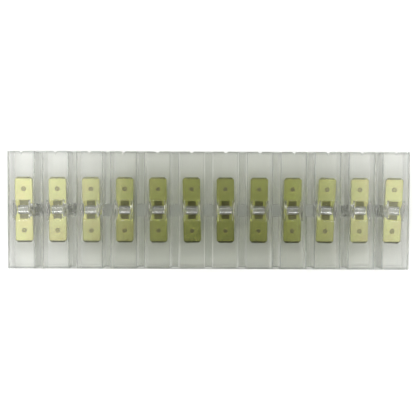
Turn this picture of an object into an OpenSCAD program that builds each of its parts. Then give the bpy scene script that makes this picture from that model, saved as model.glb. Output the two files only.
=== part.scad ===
// Push-on terminal strip: a clear one-piece moulding with a row of chambers, open at the front and at the
// back, and a double-ended flat blade of brass in each of them. At the middle of a chamber the roof and the
// base dip towards the blade, and a keeper joins the two dips through the window of the blade.
// The strip lies on its flat base. X runs along the row of poles, Y along the blades and Z up.

/* [Poles] */
// Number of poles in the row
poles = 12; // [2:1:24]
// Distance from one pole to the next
pitch = 12; // [11:0.1:16]

/* [Moulding] */
// Length of the chambers from the front mouths to the back mouths
depth = 41.4; // [36:0.2:60]
// Inside width of a chamber
chamber_w = 8.6; // [7.8:0.1:9]
// Inside height of a chamber
chamber_h = 6.4; // [5.6:0.1:8]
// Thickness of the walls on either side of a chamber
side_wall = 0.45; // [0.35:0.05:0.8]
// Thickness of the base under the chambers
base_t = 1.2; // [0.8:0.1:1.6]
// Thickness of the roof over the chambers
roof_t = 1; // [0.7:0.1:1.6]
// Thickness of the rib that joins neighbouring chambers at the middle
rib_t = 4; // [2:0.1:6]

/* [Dips] */
// Width of the floor of a dip, along the row
dip_floor_w = 4.1; // [3.6:0.1:4.4]
// Length of the floor of a dip, along the blade
dip_floor_l = 1.1; // [0.8:0.1:1.4]
// Length of the gentle slope at either end of that floor
ease_l = 0.3; // [0.1:0.05:0.4]
// Angle of the gentle slopes in degrees
ease_angle = 25; // [15:1:30]
// Width of a dip at the outer face
dip_w = 5; // [4.6:0.1:7]
// Length of a dip at the outer face
dip_l = 7.2; // [6:0.1:8]
// Depth of a dip
dip_d = 2.2; // [1.8:0.1:2.4]
// Thickness of the walls of a dip
dip_wall = 0.85; // [0.7:0.05:1]

/* [Keepers] */
// Length of the keeper that fills the window of a blade
keeper_l = 3.3; // [2.4:0.1:3.6]
// Height of the keeper
keeper_h = 1.6; // [1.2:0.1:2]
// Width over the shoulders that hold a blade from above and from below
shoulder_w = 5; // [4.6:0.1:5.6]

/* [Mouths] */
// Length of the lead-in at the roof and the base of a mouth
lead_in_l = 1.2; // [0.5:0.1:2]
// How far the lead-in cuts into the roof and the base
lead_in_cut = 0.3; // [0.1:0.05:0.5]
// Width of the vee notch in the back edge of each roof
notch_w = 1.4; // [0.5:0.1:2]
// Depth of that notch from the back edge
notch_d = 1.2; // [0.5:0.1:2]

/* [Blades] */
// Width of a blade
blade_w = 6.3; // [6:0.1:6.6]
// Thickness of a blade
blade_t = 0.8; // [0.6:0.05:1]
// Length of a contact from tip to tip
contact_l = 23.4; // [22:0.2:30]
// Length of the bevels at the tips
bevel_l = 0.7; // [0.4:0.1:2]
// Thickness that is left at the tips
tip_t = 0.35; // [0.2:0.05:0.5]
// Corner chamfer at the tips
tip_corner = 0.85; // [0.4:0.05:1.4]
// Diameter of the latch dimples
latch_d = 1.8; // [1.2:0.1:2.2]
// Depth of the latch dimples
latch_deep = 0.2; // [0.1:0.05:0.25]
// Distance from a tip to the middle of its dimples
latch_from_tip = 4.3; // [3.4:0.1:4.8]
// Width of the sunk field round the window, on both faces
field_w = 3; // [2:0.1:3.4]
// Length of that field
field_l = 7.1; // [6:0.1:8]
// Depth of that field
field_deep = 0.2; // [0.1:0.05:0.25]

/* [Fits] */
// Gap between the brass and the plastic moulded round it
mould_gap = 0.03; // [0.02:0.01:0.08]

/* [Hidden] */
$fn = 48;
// How far a cut runs past the face that it opens
past = 1;
// How far a keeper and the walls of a dip run into each other
bite = 0.2;
// Least half width to which the walls of a dip draw in
least = 0.1;

module_w = chamber_w + 2 * side_wall;
strip_l = (poles - 1) * pitch + module_w;
strip_h = base_t + chamber_h + roof_t;
relief_w = pitch - module_w;
// Height of the blades, in the middle of the chambers
blade_z = base_t + chamber_h / 2;
mouth_y = depth / 2;
// Growth of the lead-in, carried on past the mouth at the same slope
lead_in_past = lead_in_cut * (1 + past / lead_in_l);
// Length of the floor of a dip with its gentle slopes, and how far those rise
eased_l = dip_floor_l + 2 * ease_l;
ease_rise = ease_l * tan(ease_angle);
// How far a dip widens over one unit of height, across and along the blade
run_w = (dip_w - dip_floor_w) / 2 / dip_d;
run_l = (dip_l - eased_l) / 2 / (dip_d - ease_rise);
// Half length of a dip where its long slopes would reach the level of its floor
slope_foot = eased_l / 2 - ease_rise * run_l;
// Turn of each contact in its chamber in degrees, from the left, as it was set in the mould
contact_turn = [0.7, 0.4, 0.8, 0.1, 0.8, 1.2, 0.4, -0.5, -0.5, -2.4, -0.4, -2.4];

function pole_x(i) = (i - (poles + 1) / 2) * pitch;
function turn_of(i) = contact_turn[(i - 1) % len(contact_turn)];
function contact_name(i) = str("contact_", i < 10 ? "0" : "", i);

// A 2D outline in Y and Z, drawn out along X
module along_x(length) {
    rotate([90, 0, 90]) linear_extrude(height = length, center = true) children();
}

// A 2D outline in X and Z, drawn out along Y
module along_y(length) {
    rotate([90, 0, 0]) linear_extrude(height = length, center = true) children();
}

// Straight way from mouth to mouth, with a lead-in at the roof and the base of both mouths
module tunnel() {
    half = chamber_h / 2;
    edge = [
        [-mouth_y - past, half + lead_in_past],
        [-mouth_y + lead_in_l, half],
        [mouth_y - lead_in_l, half],
        [mouth_y + past, half + lead_in_past]
    ];
    translate([0, 0, blade_z]) along_x(chamber_w)
        polygon(concat(edge, [for (k = [len(edge) - 1:-1:0]) [edge[k][0], -edge[k][1]]]));
}

// Places what is drawn upwards from the floor of a dip, for the dips of the roof and of the base
module in_roof() {
    translate([0, 0, strip_h - dip_d]) children();
}

module in_base() {
    translate([0, 0, dip_d]) mirror([0, 0, 1]) children();
}

// Hollow of a dip with its floor at z = 0
module dip_hollow() {
    top = dip_d + past;
    half_w = dip_floor_w / 2;
    half_w_top = half_w + top * run_w;
    half_l = dip_floor_l / 2;
    half_l_top = slope_foot + top * run_l;
    intersection() {
        along_y(2 * dip_l)
            polygon([[-half_w, 0], [half_w, 0], [half_w_top, top], [-half_w_top, top]]);
        along_x(2 * dip_w)
            polygon([
                [-half_l, 0], [half_l, 0], [eased_l / 2, ease_rise],
                [half_l_top, top], [-half_l_top, top], [-eased_l / 2, ease_rise]
            ]);
    }
}

// Upright section of the walls round a dip, drawn in below its floor down to the level low
module wall_section(half_foot, run, low) {
    half = half_foot + dip_wall * sqrt(1 + run * run);
    half_low = max(half + low * run, least);
    half_top = half + dip_d * run;
    polygon([[-half_low, low], [half_low, low], [half_top, dip_d], [-half_top, dip_d]]);
}

module dip_walls(low) {
    intersection() {
        along_y(2 * dip_l) wall_section(dip_floor_w / 2, run_w, low);
        along_x(2 * dip_w) wall_section(slope_foot, run_l, low);
    }
}

// Walls of both dips, and the keeper that joins them through the window of the blade
module holder() {
    reach = keeper_h / 2 - bite;
    in_roof() dip_walls(blade_z + reach - strip_h + dip_d);
    in_base() dip_walls(dip_d - blade_z + reach);
    translate([0, 0, blade_z]) {
        cube([dip_floor_w, keeper_l, keeper_h], center = true);
        cube([shoulder_w, eased_l, keeper_h], center = true);
    }
}

// Relief between two chambers, on both sides of the rib
module relief() {
    for (side = [-1, 1])
        translate([-relief_w / 2, side > 0 ? rib_t / 2 : -mouth_y - past, base_t])
            cube([relief_w, mouth_y + past - rib_t / 2, chamber_h]);
}

// Notch through the roof at the back mouth of a chamber
module vee_notch() {
    translate([0, mouth_y, strip_h - roof_t - past])
        linear_extrude(height = roof_t + 2 * past)
            polygon([
                [0, -notch_d],
                [notch_w / 2 * (1 + past / notch_d), past],
                [-notch_w / 2 * (1 + past / notch_d), past]
            ]);
}

// Flat double-ended blade with chamfered, bevelled tips and the window for the keeper; grow swells it
// on all sides for the room that it takes in the plastic
module blade(grow = 0) {
    half_w = blade_w / 2 + grow;
    half_l = contact_l / 2 + grow;
    half_t = blade_t / 2 + grow;
    half_tip = tip_t / 2 + grow;
    play = 2 * (mould_gap - grow);
    difference() {
        intersection() {
            linear_extrude(height = blade_t + 2 * grow + past, center = true)
                polygon([
                    [half_w, half_l - tip_corner], [half_w - tip_corner, half_l],
                    [-half_w + tip_corner, half_l], [-half_w, half_l - tip_corner],
                    [-half_w, -half_l + tip_corner], [-half_w + tip_corner, -half_l],
                    [half_w - tip_corner, -half_l], [half_w, -half_l + tip_corner]
                ]);
            along_x(2 * half_w + past)
                polygon([
                    [half_l, half_tip], [half_l - bevel_l, half_t],
                    [-half_l + bevel_l, half_t], [-half_l, half_tip],
                    [-half_l, -half_tip], [-half_l + bevel_l, -half_t],
                    [half_l - bevel_l, -half_t], [half_l, -half_tip]
                ]);
        }
        cube([dip_floor_w + play, keeper_l + play, blade_t + 2 * grow + past], center = true);
    }
}

// Sunk field round the window and latch dimples in the upper face of a blade
module sinkings() {
    translate([-field_w / 2, -field_l / 2, blade_t / 2 - field_deep])
        cube([field_w, field_l, field_deep + past]);
    for (end = [-1, 1])
        translate([0, end * (contact_l / 2 - latch_from_tip), blade_t / 2 - latch_deep])
            cylinder(d = latch_d, h = latch_deep + past);
}

// Puts what belongs to pole i in its place, in line with its contact
module at_pole(i, z = 0) {
    translate([pole_x(i), 0, z]) rotate([0, 0, turn_of(i)]) children();
}

module housing() {
    color([0.86, 0.88, 0.84, 0.35]) difference() {
        translate([-strip_l / 2, -depth / 2, 0]) cube([strip_l, depth, strip_h]);
        for (i = [1:poles]) {
            difference() {
                translate([pole_x(i), 0, 0]) tunnel();
                at_pole(i) holder();
            }
            at_pole(i) in_roof() dip_hollow();
            at_pole(i) in_base() dip_hollow();
            at_pole(i, blade_z) blade(mould_gap);
            translate([pole_x(i), 0, 0]) vee_notch();
        }
        for (i = [1:poles - 1]) translate([pole_x(i) + pitch / 2, 0, 0]) relief();
    }
}

module contact(i) {
    color([0.80, 0.72, 0.40]) at_pole(i, blade_z) difference() {
        blade();
        sinkings();
        mirror([0, 0, 1]) sinkings();
    }
}

housing();
for (i = [1:poles])
    contact(i);
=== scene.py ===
import math
from typing import NamedTuple

import bpy
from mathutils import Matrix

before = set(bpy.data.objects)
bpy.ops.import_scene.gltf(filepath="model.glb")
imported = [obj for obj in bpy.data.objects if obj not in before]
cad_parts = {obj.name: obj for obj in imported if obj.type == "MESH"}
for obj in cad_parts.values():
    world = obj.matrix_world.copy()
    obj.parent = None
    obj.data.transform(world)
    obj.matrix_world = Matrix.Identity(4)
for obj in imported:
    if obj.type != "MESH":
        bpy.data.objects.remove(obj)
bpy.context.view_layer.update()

MM = 0.001
AXIS_X, AXIS_Y, AXIS_Z = range(3)
scene = bpy.context.scene
scene.view_settings.view_transform = "Standard"

# Light that crosses many clear walls, seen sharply through all of them
scene.cycles.max_bounces = 32
scene.cycles.transmission_bounces = 24
scene.cycles.glossy_bounces = 16
scene.cycles.blur_glossy = 0.0

# Camera, measured from the photograph: place over the strip, small tilts and lens
CAMERA_AT = (0.26 * MM, 9.15 * MM, 250 * MM)
CAMERA_TILT_DEG = (-2.127, -0.046, 0.208)
CAMERA_LENS = 58.75
CAMERA_NEAR = 10 * MM
SENSOR = 36.0

# Floor
FLOOR_SIDE = 4.0
FLOOR_DROP = 0.2 * MM
FLOOR_COLOUR = (0.95, 0.95, 0.95, 1)

# Broken edges: their width on the two materials, and how far two faces must bend to have one
PLASTIC_EDGE = 0.04 * MM
BRASS_EDGE = 0.06 * MM
EDGE_BEND = math.radians(32)
EDGE_STEPS = 2
# Bend up to which two faces are taken as one, and the distance within which corners are joined
FLAT_BEND = math.radians(1)
JOIN_WITHIN = 0.001 * MM

# From here to the studio, places and distances are in millimetres. Four numbers are a range: two values,
# and the level at each of them. A noise is its waves per millimetre along each axis, and its detail.

# Place along the strip where the plastic and the brass are darkest
DARKEST_X = 8.0

# Clear plastic
PLASTIC_IOR = 1.52
PLASTIC_PALE = (0.955, 0.957, 0.950)
PLASTIC_DEEP = (0.925, 0.929, 0.918)
SOAK_COLOUR = (0.50, 0.512, 0.44, 1)
SOAK_PER_METRE = 25.0
CLOUD = ((0.10, 0.05, 0.1), 3.0)
FLOW = ((0.9, 0.05, 0.4), 2.0)
SCRATCH = ((7.0, 0.25, 1.0), 4.0)
CLOUD_SHARE = 0.6
FLOW_SHARE = 0.4
HAZE_TO_DEEP = (0.35, 0.65, 0, 1)
SCRATCH_ROUGHNESS = (0.45, 0.75, 0.03, 0.09)
# How nearly a face must look along the strip to count as a wall, and the roughness that a wall adds
WALL_FROM = 0.985
WALL_ROUGHNESS = 0.4
# Relief of the surface: depth of the flow marks, and of the scratches and cracks as multiples of it
PLASTIC_RELIEF = 0.007
SCRATCH_HEIGHT = 0.04
CRACK_HEIGHT = 110.0

# Base and roof: height over the underside, and depth under the top
BASE_HEIGHT = (1.3, 1.4, 1, 0)
ROOF_DEPTH = (1.0, 1.1, 1, 0)

# Painted shade in the base, strongest in the darker poles and towards the front
BASE_SHADE = (0.73, 0.74, 0.705)
BASE_SHADE_OFF_DARKEST = (66, 35, 0.35, 1)
BASE_SHADE_OVER_Y = (20, -14, 0.7, 1)

# Painted shade in grey bands on the roof over the gaps, strongest towards the ends and the front, with a
# painted shade line on the left
BAND_SHADE = (0.68, 0.69, 0.67)
BAND_OUTWARD = (30, 62, 0, 1)
BAND_OVER_Y = (14, -14, 0.45, 0.75)
BAND_LEAST = 0.2
BAND_OFF_GAP = (0.9, 2.0, 1, 0)
SHADE_LINE_GREY = (0.78, 0.79, 0.77)
SHADE_LINE_FROM_GAP = 1.5
SHADE_LINE_WIDTH = (0.1, 0.7, 0.6, 0)

# Painted shade on the solid plastic at the ribs and the keepers, the keepers most in the darker poles
RIB_SHADE = (0.57, 0.58, 0.56)
RIB_OFF_MIDDLE = (1.7, 2.3, 1, 0)
RIB_OFF_GAP = (1.2, 2.2, 1, 0)
KEEPER_SHADE = (0.74, 0.74, 0.75)
KEEPER_OFF_MIDDLE = (1.6, 1.8, 1, 0)
KEEPER_OFF_POLE = (2.0, 2.2, 1, 0)
KEEPER_OFF_DARKEST = (60, 25, 0.35, 1)

# Painted shade in dark rims at the mouths and the ends, and on the roof over the front mouth of a relief
# slot
RIM_GREY = (0.60, 0.61, 0.60)
RIM_FROM_MOUTH = (1.1, 0.2, 0, 0.7)
RIM_FROM_END = (0.5, 0.2, 0, 0.7)
SLOT_OFF_GAP = (1.4, 1.2, 0, 1)
SLOT_MOUTH_GREY = (0.59, 0.60, 0.58)
SLOT_MOUTH_FROM_FRONT = (1.2, 0.9, 0, 1)

# Painted shade on the walls of the dips on either side of a keeper, from their inner to their outer limit
CHEEK_SHADE = (0.50, 0.50, 0.44)
CHEEK_INNER = (2.4, 2.6, 0, 1)
CHEEK_OUTER = (3.1, 3.3, 1, 0)
CHEEK_OFF_MIDDLE = (3.2, 3.6, 1, 0)
CHEEK_OFF_DARKEST = (45, 25, 0, 1)

# Crackled patches at the ribs towards both ends, in the outer half of each gap
CRACK_GREY = (0.30, 0.31, 0.26)
CRACKS_PER_MM = 1.2
CRACK_TINT = (0.3, 0.6, 0, 0.9)
CRACK_OFF_GAP = (2.8, 3.4, 1, 0)
CRACK_OUTWARD = (34, 44, 0, 1)
CRACK_OUTER_SIDE = (-0.6, 0.0, 0, 1)
CRACK_FREE_END = 4.0

# Brass: yellow with brown stains and darker grain, and painted shade turning it more olive in the dark
# poles
BRASS_YELLOW = (0.64, 0.655, 0.32)
BRASS_BROWN = (0.64, 0.60, 0.31)
BRASS_OLIVE = (0.60, 0.645, 0.19)
BRASS_GRAIN = (0.48, 0.47, 0.17)
STAIN = ((0.16, 0.14, 0.1), 3.0)
GRAIN = ((9.0, 0.22, 1.0), 4.0)
STAIN_TO_BROWN = (0.45, 0.70, 0, 1)
OLIVE_OFF_DARKEST = (50, 20, 0, 0.85)
GRAIN_TINT = (0.35, 0.65, 0, 0.16)
GRAIN_ROUGHNESS = (0.3, 0.7, 0.15, 0.27)
BRASS_RELIEF = 0.004

# Sheared edges: painted shade along them, the reach of the shaded zone, and how well a rounded normal
# agrees with the face across it
EDGE_SHADE = (0.20, 0.20, 0.09)
EDGE_REACH = 0.5
EDGE_SAMPLES = 4
EDGE_TURN = (0.995, 0.93, 0, 0.8)
EDGE_OFF_POLE = (1.8, 2.1, 0, 1)

# Tips: painted shade on the bevels at both ends of a blade, darkest at the front
TIP_SHADE = (0.17, 0.17, 0.07)
TIP_FRONT_SHADE = (0.06, 0.06, 0.025)
TIP_BEVEL = (0.75, 0.6, 0, 0.9)
TIP_FROM_FRONT = (1.6, 1.2, 0, 1)

# Sunk fields and dimples: how far below the faces, how near the middle line, and where the fields end
SUNK_FROM = 0.06
SUNK_WITHIN = 2.0
FIELD_END = 5.0
# Painted shade on the floors of the sunk fields, darker in the darker poles, and of the dimples, darker
# towards their rims
FIELD_PALE = (0.29, 0.285, 0.19)
FIELD_DARK = (0.20, 0.195, 0.07)
FIELD_OFF_DARKEST = (58, 36, 0, 1)
DIMPLE_PALE = (0.36, 0.345, 0.16)
DIMPLE_DARK = (0.20, 0.18, 0.09)

# Studio: levels of light over the slope to the right (across) and to the back (along) of straight up
# Least upward part of a direction, which keeps the slopes finite
LEAST_UP = 0.02
# Soft boxes on both sides of a dark slot; towards the back they widen, and the slot is narrower and paler
BOX_STOPS = [
    (-0.40, 1.75), (-0.33, 1.75), (-0.27, 1.55), (-0.22, 1.30), (-0.17, 0.80), (-0.12, 0.20), (-0.06, 0.13),
    (0.0, 0.12), (0.06, 0.10), (0.10, 0.13), (0.15, 0.34), (0.20, 0.66), (0.245, 1.08), (0.28, 1.36),
    (0.36, 1.60), (0.40, 1.60)]
BOX_FAR_STOPS = [(0.4, 1.0), (0.7, 0.92), (1.3, 0.58), (2.5, 0.48), (6.0, 0.45)]
BOX_WIDENING = (-0.10, 0.03, 0.86, 1.20)
SLOT_STOPS = [(-1.0, 0.0), (-0.08, 0.0), (0.0, 0.28), (0.06, 0.38), (0.5, 0.42), (0.85, 0.45)]
# Two narrow strips of light over the slot, in front and behind, stronger towards their ends
STRIP_STOPS = [
    (-1.40, 0.0), (-1.35, 7.0), (-1.20, 7.0), (-1.15, 0.0),
    (0.98, 0.0), (1.03, 11.0), (1.17, 11.0), (1.22, 0.0)]
STRIP_END_STOPS = [(0.0, 1.0), (0.2, 1.0), (0.35, 1.6), (0.56, 1.6), (0.62, 0.0)]
# Darker towards the front and the back, over the direction itself, and a pale backdrop at the horizon
FRONT_BACK_STOPS = [(0.0, 1.0), (0.80, 1.0), (0.90, 0.45), (0.95, 0.12), (1.0, 0.12)]
BACKDROP_UP = (0.17, 0.12, 0, 1)
# Colour of the light where it is dim and where it is bright
CAST_DIM = (0.96, 1.0, 0.78)
CAST_BRIGHT = (1.0, 1.0, 0.99)
CAST_LEVEL = (0.1, 0.8, 0, 1)


class Nodes:
    """Builds the nodes of one tree. A value is a number, a colour or the socket that gives it."""

    def __init__(self, tree):
        self.tree = tree

    def give(self, value, socket):
        """Sets a socket to a value, or links it where the value is a socket."""
        if isinstance(value, bpy.types.NodeSocket):
            self.tree.links.new(value, socket)
        else:
            socket.default_value = value

    def add(self, kind, inputs=None, **settings):
        node = self.tree.nodes.new(kind)
        for key, value in settings.items():
            setattr(node, key, value)
        for key, value in (inputs or {}).items():
            self.give(value, node.inputs[key])
        return node

    def maths(self, operation, first, second=0.0):
        return self.add("ShaderNodeMath", {0: first, 1: second}, operation=operation).outputs[0]

    def absolute(self, value):
        return self.maths("ABSOLUTE", value)

    def product(self, first, *others):
        for other in others:
            first = self.maths("MULTIPLY", first, other)
        return first

    def ranged(self, value, low, high, to_low, to_high):
        """Maps a value from low..high to to_low..to_high, clamped."""
        node = self.add("ShaderNodeMapRange", {
            "Value": value, "From Min": low, "From Max": high, "To Min": to_low, "To Max": to_high})
        return node.outputs[0]

    def ramp(self, value, stops):
        """Level between stops, each a value and its level."""
        low, high = stops[0][0], stops[-1][0]
        full = max(level for _, level in stops)
        node = self.add("ShaderNodeValToRGB", {"Fac": self.ranged(value, low, high, 0, 1)})
        elements = node.color_ramp.elements
        while len(elements) < len(stops):
            elements.new(0.5)
        for element, (at, level) in zip(elements, stops):
            element.position = (at - low) / (high - low)
            element.color = (level / full, level / full, level / full, 1)
        return self.product(node.outputs["Color"], full)

    def mix(self, factor, first, second):
        """Mix of two colours, each three numbers or a socket."""
        node = self.add("ShaderNodeMix", {"Factor": factor}, data_type="RGBA")
        sockets = [socket for socket in node.inputs if socket.type == "RGBA"]
        for socket, colour in zip(sockets, (first, second)):
            self.give(colour if isinstance(colour, bpy.types.NodeSocket) else (*colour, 1), socket)
        return next(socket for socket in node.outputs if socket.type == "RGBA")

    def axes(self, vector):
        parts = self.add("ShaderNodeSeparateXYZ", {"Vector": vector})
        return parts.outputs["X"], parts.outputs["Y"], parts.outputs["Z"]

    def place_in_mm(self):
        """Place on the piece in millimetres, in its own frame."""
        at = self.add("ShaderNodeTexCoord").outputs["Object"]
        scaled = self.add("ShaderNodeVectorMath", {0: at, "Scale": 1 / MM}, operation="SCALE")
        return scaled.outputs["Vector"]

    def noise(self, at, per_mm, detail):
        """Noise with a number of waves per millimetre along each axis."""
        waves = self.add("ShaderNodeVectorMath", {0: at, 1: per_mm}, operation="MULTIPLY").outputs["Vector"]
        node = self.add("ShaderNodeTexNoise", {"Vector": waves, "Scale": 1.0, "Detail": detail})
        return node.outputs[0]

    def from_nearest(self, value, first, step):
        """Signed distance from the nearest of the places first, first + step, first + 2 step and so on."""
        ahead = self.maths("ADD", value, step / 2 - first)
        return self.maths("SUBTRACT", self.maths("FLOORED_MODULO", ahead, step), step / 2)

    def bump(self, shader, height, depth_mm):
        relief = self.add("ShaderNodeBump", {"Height": height, "Strength": 1.0, "Distance": depth_mm * MM})
        self.give(relief.outputs["Normal"], shader.inputs["Normal"])


class Strip(NamedTuple):
    """Sizes of the strip in millimetres."""

    pitch: float
    first_pole: float
    half_length: float
    half_depth: float
    height: float
    blade_height: float
    half_blade_length: float
    half_blade_thickness: float


class Spot:
    """Where on the strip a shaded point lies, as sockets in millimetres."""

    def __init__(self, nodes, strip):
        self.at = nodes.place_in_mm()
        self.x, self.y, self.z = nodes.axes(self.at)
        self.outward = nodes.absolute(self.x)
        self.off_middle = nodes.absolute(self.y)
        self.off_darkest = nodes.absolute(nodes.maths("SUBTRACT", self.x, DARKEST_X))
        # from the middle of the nearest gap between two chambers, and of the nearest pole
        self.from_gap = nodes.from_nearest(self.x, strip.first_pole + strip.pitch / 2, strip.pitch)
        self.off_gap = nodes.absolute(self.from_gap)
        self.off_pole = nodes.maths("SUBTRACT", strip.pitch / 2, self.off_gap)


def span(name, axis):
    """Least and greatest place of a CAD piece along an axis in millimetres, in its own frame."""
    places = [corner[axis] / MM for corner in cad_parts[name].bound_box]
    return min(places), max(places)


def middle(name, axis):
    low, high = span(name, axis)
    return (low + high) / 2


def half(name, axis):
    low, high = span(name, axis)
    return (high - low) / 2


def measure():
    """Reads the sizes of the strip from the frame."""
    first_pole = middle("contact_01", AXIS_X)
    return Strip(
        pitch=middle("contact_02", AXIS_X) - first_pole,
        first_pole=first_pole,
        half_length=half("housing", AXIS_X),
        half_depth=half("housing", AXIS_Y),
        height=span("housing", AXIS_Z)[1],
        blade_height=middle("contact_01", AXIS_Z),
        half_blade_length=half("contact_01", AXIS_Y),
        half_blade_thickness=half("contact_01", AXIS_Z))


def new_material(name):
    """A material with a Principled shader. Returns it with the builder of its nodes and the shader."""
    material = bpy.data.materials.new(name)
    material.use_nodes = True
    tree = material.node_tree
    return material, Nodes(tree), tree.nodes["Principled BSDF"]


def hazy_tint(nodes, spot, flow):
    cloud = nodes.noise(spot.at, *CLOUD)
    haze = nodes.maths("ADD", nodes.product(cloud, CLOUD_SHARE), nodes.product(flow, FLOW_SHARE))
    return nodes.mix(nodes.ranged(haze, *HAZE_TO_DEEP), PLASTIC_PALE, PLASTIC_DEEP)


# Painted shade: greys the base in the darker poles and towards the front
def shaded_base(nodes, spot, base, tint):
    painted_shade = nodes.product(
        nodes.ranged(spot.off_darkest, *BASE_SHADE_OFF_DARKEST), nodes.ranged(spot.y, *BASE_SHADE_OVER_Y), base)
    return nodes.mix(painted_shade, tint, BASE_SHADE)


# Painted shade: grey bands over the gaps and a dark line at the left wall of each
def shaded_roof_bands(nodes, spot, roof, tint):
    """Painted shade in grey bands in the roof over the gaps, and a painted shade line along the left of
    each.
    """
    near_end = nodes.product(nodes.ranged(spot.outward, *BAND_OUTWARD), nodes.ranged(spot.y, *BAND_OVER_Y))
    strength = nodes.maths("ADD", near_end, BAND_LEAST)
    band = nodes.product(nodes.ranged(spot.off_gap, *BAND_OFF_GAP), roof, strength)
    tint = nodes.mix(band, tint, BAND_SHADE)
    off_shade_line = nodes.absolute(nodes.maths("ADD", spot.from_gap, SHADE_LINE_FROM_GAP))
    shade_line = nodes.product(nodes.ranged(off_shade_line, *SHADE_LINE_WIDTH), roof)
    return nodes.mix(shade_line, tint, SHADE_LINE_GREY)


# Painted shade: greys the ribs and the keepers
def shaded_middles(nodes, spot, tint):
    """Painted shade greying the ribs and the keepers, the keepers most in the darker poles."""
    rib = nodes.product(
        nodes.ranged(spot.off_middle, *RIB_OFF_MIDDLE), nodes.ranged(spot.off_gap, *RIB_OFF_GAP))
    tint = nodes.mix(rib, tint, RIB_SHADE)
    keeper = nodes.product(
        nodes.ranged(spot.off_middle, *KEEPER_OFF_MIDDLE),
        nodes.ranged(spot.off_pole, *KEEPER_OFF_POLE),
        nodes.ranged(spot.off_darkest, *KEEPER_OFF_DARKEST))
    return nodes.mix(keeper, tint, KEEPER_SHADE)


# Painted shade at the cut edges and over the mouths of the relief slots
def cut_edges(nodes, strip, spot, base, roof, tint):
    """Painted shade: dark rims where light leaves through the cut edges, apart from the floors of the
    relief slots, and over the front mouth of each relief slot.
    """
    from_mouth = nodes.maths("SUBTRACT", strip.half_depth, spot.off_middle)
    from_end = nodes.maths("SUBTRACT", strip.half_length, spot.outward)
    rim = nodes.maths(
        "MAXIMUM", nodes.ranged(from_mouth, *RIM_FROM_MOUTH), nodes.ranged(from_end, *RIM_FROM_END))
    slot = nodes.ranged(spot.off_gap, *SLOT_OFF_GAP)
    off_slot_floor = nodes.maths("SUBTRACT", 1.0, nodes.product(slot, base))
    tint = nodes.mix(nodes.product(rim, off_slot_floor), tint, RIM_GREY)
    from_front = nodes.maths("ADD", spot.y, strip.half_depth)
    slot_mouth = nodes.product(nodes.ranged(from_front, *SLOT_MOUTH_FROM_FRONT), slot, roof)
    return nodes.mix(slot_mouth, tint, SLOT_MOUTH_GREY)


# Painted shade: greys the walls of the dips in the darker poles
def shaded_cheeks(nodes, spot, tint):
    """Painted shade on the walls of the dips on either side of a keeper, in the darker poles."""
    cheek = nodes.product(
        nodes.ranged(spot.off_pole, *CHEEK_INNER),
        nodes.ranged(spot.off_pole, *CHEEK_OUTER),
        nodes.ranged(spot.off_middle, *CHEEK_OFF_MIDDLE),
        nodes.ranged(spot.off_darkest, *CHEEK_OFF_DARKEST))
    return nodes.mix(cheek, tint, CHEEK_SHADE)


def crackle_patch(nodes, strip, spot):
    """1 in the crackled patches, otherwise 0."""
    outer_side = nodes.product(spot.from_gap, nodes.maths("SIGN", spot.x))
    return nodes.product(
        nodes.ranged(spot.off_middle, *RIB_OFF_MIDDLE),
        nodes.ranged(spot.off_gap, *CRACK_OFF_GAP),
        nodes.ranged(spot.outward, *CRACK_OUTWARD),
        nodes.maths("LESS_THAN", spot.outward, strip.half_length - CRACK_FREE_END),
        nodes.ranged(outer_side, *CRACK_OUTER_SIDE))


def plastic_roughness(nodes, scratch):
    """Fine scratches, and matt side walls of the chambers."""
    facing = nodes.add("ShaderNodeTexCoord").outputs["Normal"]
    sideways = nodes.absolute(nodes.axes(facing)[AXIS_X])
    wall = nodes.maths("GREATER_THAN", sideways, WALL_FROM)
    return nodes.maths(
        "ADD", nodes.ranged(scratch, *SCRATCH_ROUGHNESS), nodes.product(wall, WALL_ROUGHNESS))


def clear_plastic(strip):
    """Clear plastic with a faint green cast, flow marks along the chambers and fine scratches.

    Painted shade greys it in the base, between the chambers, at the ribs and the keepers, on the walls of
    the dips and at the cut edges.
    """
    material, nodes, shader = new_material("clear_plastic")
    shader.inputs["Transmission Weight"].default_value = 1.0
    shader.inputs["IOR"].default_value = PLASTIC_IOR
    spot = Spot(nodes, strip)
    base = nodes.ranged(spot.z, *BASE_HEIGHT)
    roof = nodes.ranged(nodes.maths("SUBTRACT", strip.height, spot.z), *ROOF_DEPTH)
    flow = nodes.noise(spot.at, *FLOW)
    scratch = nodes.noise(spot.at, *SCRATCH)
    cells = nodes.add("ShaderNodeTexVoronoi", {"Vector": spot.at, "Scale": CRACKS_PER_MM})
    crackle = cells.outputs["Distance"]
    patch = crackle_patch(nodes, strip, spot)

    tint = hazy_tint(nodes, spot, flow)
    tint = shaded_base(nodes, spot, base, tint)
    tint = shaded_roof_bands(nodes, spot, roof, tint)
    tint = shaded_middles(nodes, spot, tint)
    tint = cut_edges(nodes, strip, spot, base, roof, tint)
    tint = shaded_cheeks(nodes, spot, tint)
    tint = nodes.mix(nodes.product(patch, nodes.ranged(crackle, *CRACK_TINT)), tint, CRACK_GREY)
    nodes.give(tint, shader.inputs["Base Color"])
    nodes.give(plastic_roughness(nodes, scratch), shader.inputs["Roughness"])

    height = nodes.maths("ADD", flow, nodes.product(scratch, SCRATCH_HEIGHT))
    height = nodes.maths("ADD", height, nodes.product(crackle, patch, CRACK_HEIGHT))
    nodes.bump(shader, height, PLASTIC_RELIEF)
    soak = nodes.add("ShaderNodeVolumeAbsorption", {"Color": SOAK_COLOUR, "Density": SOAK_PER_METRE})
    nodes.give(soak.outputs["Volume"], nodes.tree.nodes["Material Output"].inputs["Volume"])
    return material


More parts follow.
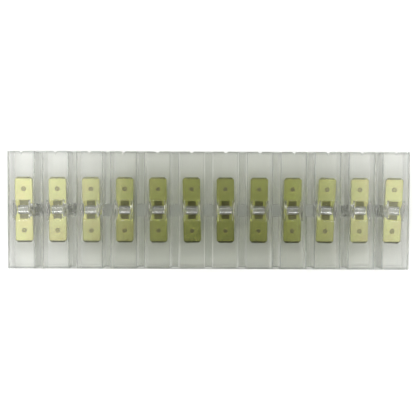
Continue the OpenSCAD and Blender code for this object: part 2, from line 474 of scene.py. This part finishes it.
def rolled_colour(nodes, spot, grain):
    """Colour of the rolled faces of a blade, with painted shade turning it olive in the darker poles."""
    stain = nodes.noise(spot.at, *STAIN)
    colour = nodes.mix(nodes.ranged(stain, *STAIN_TO_BROWN), BRASS_YELLOW, BRASS_BROWN)
    # Painted shade: olive in the darker poles
    colour = nodes.mix(nodes.ranged(spot.off_darkest, *OLIVE_OFF_DARKEST), colour, BRASS_OLIVE)
    return nodes.mix(nodes.ranged(grain, *GRAIN_TINT), colour, BRASS_GRAIN)


def edge_turn(nodes):
    """How far a point counts as turning away from its face, because an edge is near."""
    rounded = nodes.add("ShaderNodeBevel", {"Radius": EDGE_REACH * MM}, samples=EDGE_SAMPLES)
    true_normal = nodes.add("ShaderNodeNewGeometry").outputs["True Normal"]
    alike = nodes.add(
        "ShaderNodeVectorMath", {0: rounded.outputs["Normal"], 1: true_normal}, operation="DOT_PRODUCT")
    return nodes.ranged(alike.outputs["Value"], *EDGE_TURN)


def sunk_floor(nodes, strip, spot):
    """1 in the sunk fields and dimples of a blade, otherwise 0."""
    from_middle = nodes.absolute(nodes.maths("SUBTRACT", spot.z, strip.blade_height))
    inside = nodes.maths("LESS_THAN", from_middle, strip.half_blade_thickness - SUNK_FROM)
    return nodes.product(inside, nodes.maths("LESS_THAN", spot.off_pole, SUNK_WITHIN))


def sunk_colour(nodes, spot, turn):
    """Painted shade on the sunk fields, darker in the darker poles, and on the dimples beyond them, darker
    towards their rims.
    """
    field = nodes.mix(nodes.ranged(spot.off_darkest, *FIELD_OFF_DARKEST), FIELD_PALE, FIELD_DARK)
    dimple = nodes.mix(turn, DIMPLE_PALE, DIMPLE_DARK)
    return nodes.mix(nodes.maths("GREATER_THAN", spot.off_middle, FIELD_END), field, dimple)


def brass(strip):
    """Rolled brass: grain along the blades and brown stains, with painted shade at the edges, the tips, the
    coined floors and the darker poles.
    """
    material, nodes, shader = new_material("brass")
    shader.inputs["Metallic"].default_value = 1.0
    spot = Spot(nodes, strip)
    grain = nodes.noise(spot.at, *GRAIN)
    turn = edge_turn(nodes)
    front = nodes.ranged(nodes.maths("ADD", spot.y, strip.half_blade_length), *TIP_FROM_FRONT)

    colour = rolled_colour(nodes, spot, grain)
    edge = nodes.product(turn, nodes.ranged(spot.off_pole, *EDGE_OFF_POLE))
    # Painted shade along the sheared edges, darkest at the front
    colour = nodes.mix(edge, colour, nodes.mix(front, EDGE_SHADE, TIP_FRONT_SHADE))
    # Painted shade on the sunk fields and dimples
    colour = nodes.mix(sunk_floor(nodes, strip, spot), colour, sunk_colour(nodes, spot, turn))
    tip = nodes.ranged(nodes.maths("SUBTRACT", strip.half_blade_length, spot.off_middle), *TIP_BEVEL)
    # Painted shade on the tip bevels, darkest at the front
    colour = nodes.mix(tip, colour, nodes.mix(front, TIP_SHADE, TIP_FRONT_SHADE))
    nodes.give(colour, shader.inputs["Base Color"])
    nodes.give(nodes.ranged(grain, *GRAIN_ROUGHNESS), shader.inputs["Roughness"])
    nodes.bump(shader, grain, BRASS_RELIEF)
    return material


def flat_faces():
    """Node group that shades every face by its own slope alone."""
    group = bpy.data.node_groups.new("flat_faces", "GeometryNodeTree")
    for way in ("INPUT", "OUTPUT"):
        group.interface.new_socket("Mesh", in_out=way, socket_type="NodeSocketGeometry")
    start = group.nodes.new("NodeGroupInput")
    flat = group.nodes.new("GeometryNodeSetMeshNormal")
    flat.inputs["Face Sharpness"].default_value = True
    end = group.nodes.new("NodeGroupOutput")
    group.links.new(start.outputs["Mesh"], flat.inputs["Mesh"])
    group.links.new(flat.outputs["Mesh"], end.inputs["Mesh"])
    return group


def dress(piece, material, edge, shading):
    """Gives a CAD piece its material and softly broken edges."""
    piece.data.materials.clear()
    piece.data.materials.append(material)
    weld = piece.modifiers.new("weld", "WELD")
    weld.merge_threshold = JOIN_WITHIN
    whole = piece.modifiers.new("whole_faces", "DECIMATE")
    whole.decimate_type = "DISSOLVE"
    whole.angle_limit = FLAT_BEND
    bevel = piece.modifiers.new("broken_edges", "BEVEL")
    bevel.width = edge
    bevel.segments = EDGE_STEPS
    bevel.limit_method = "ANGLE"
    bevel.angle_limit = EDGE_BEND
    bevel.loop_slide = False
    piece.modifiers.new("flat_faces", "NODES").node_group = shading


def dress_all(strip):
    plastic_material = clear_plastic(strip)
    brass_material = brass(strip)
    shading = flat_faces()
    for name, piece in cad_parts.items():
        if name == "housing":
            dress(piece, plastic_material, PLASTIC_EDGE, shading)
        else:
            dress(piece, brass_material, BRASS_EDGE, shading)


def floor():
    bpy.ops.mesh.primitive_plane_add(size=FLOOR_SIDE, location=(0, 0, -FLOOR_DROP))
    plane = bpy.context.object
    plane.name = "floor"
    material, _, shader = new_material("floor")
    shader.inputs["Base Color"].default_value = FLOOR_COLOUR
    shader.inputs["Roughness"].default_value = 1.0
    shader.inputs["Specular IOR Level"].default_value = 0.0
    plane.data.materials.append(material)


def soft_boxes(nodes, across, along):
    widened = nodes.product(across, nodes.ranged(along, *BOX_WIDENING))
    far_out = nodes.ramp(nodes.absolute(across), BOX_FAR_STOPS)
    return nodes.product(nodes.ramp(widened, BOX_STOPS), far_out)


def light_strips(nodes, across, along):
    towards_ends = nodes.ramp(nodes.absolute(across), STRIP_END_STOPS)
    return nodes.product(nodes.ramp(along, STRIP_STOPS), towards_ends)


def studio_light():
    """Two soft boxes beside a dark slot overhead, two strips of light over it, and a pale backdrop."""
    world = bpy.data.worlds.new("studio")
    scene.world = world
    world.use_nodes = True
    nodes = Nodes(world.node_tree)
    x, y, z = nodes.axes(nodes.add("ShaderNodeTexCoord").outputs["Generated"])
    up = nodes.maths("MAXIMUM", z, LEAST_UP)
    across = nodes.maths("DIVIDE", x, up)
    along = nodes.maths("DIVIDE", y, up)
    level = nodes.maths("MAXIMUM", soft_boxes(nodes, across, along), nodes.ramp(along, SLOT_STOPS))
    level = nodes.maths("MAXIMUM", level, light_strips(nodes, across, along))
    level = nodes.product(level, nodes.ramp(nodes.absolute(y), FRONT_BACK_STOPS))
    level = nodes.maths("MAXIMUM", level, nodes.ranged(z, *BACKDROP_UP))
    cast = nodes.mix(nodes.ranged(level, *CAST_LEVEL), CAST_DIM, CAST_BRIGHT)
    background = world.node_tree.nodes["Background"]
    nodes.give(cast, background.inputs["Color"])
    nodes.give(level, background.inputs["Strength"])


def camera():
    data = bpy.data.cameras.new("camera")
    data.sensor_width = SENSOR
    data.lens = CAMERA_LENS
    data.clip_start = CAMERA_NEAR
    eye = bpy.data.objects.new("camera", data)
    eye.location = CAMERA_AT
    eye.rotation_euler = [math.radians(angle) for angle in CAMERA_TILT_DEG]
    scene.collection.objects.link(eye)
    scene.camera = eye


dress_all(measure())
floor()
studio_light()
camera()
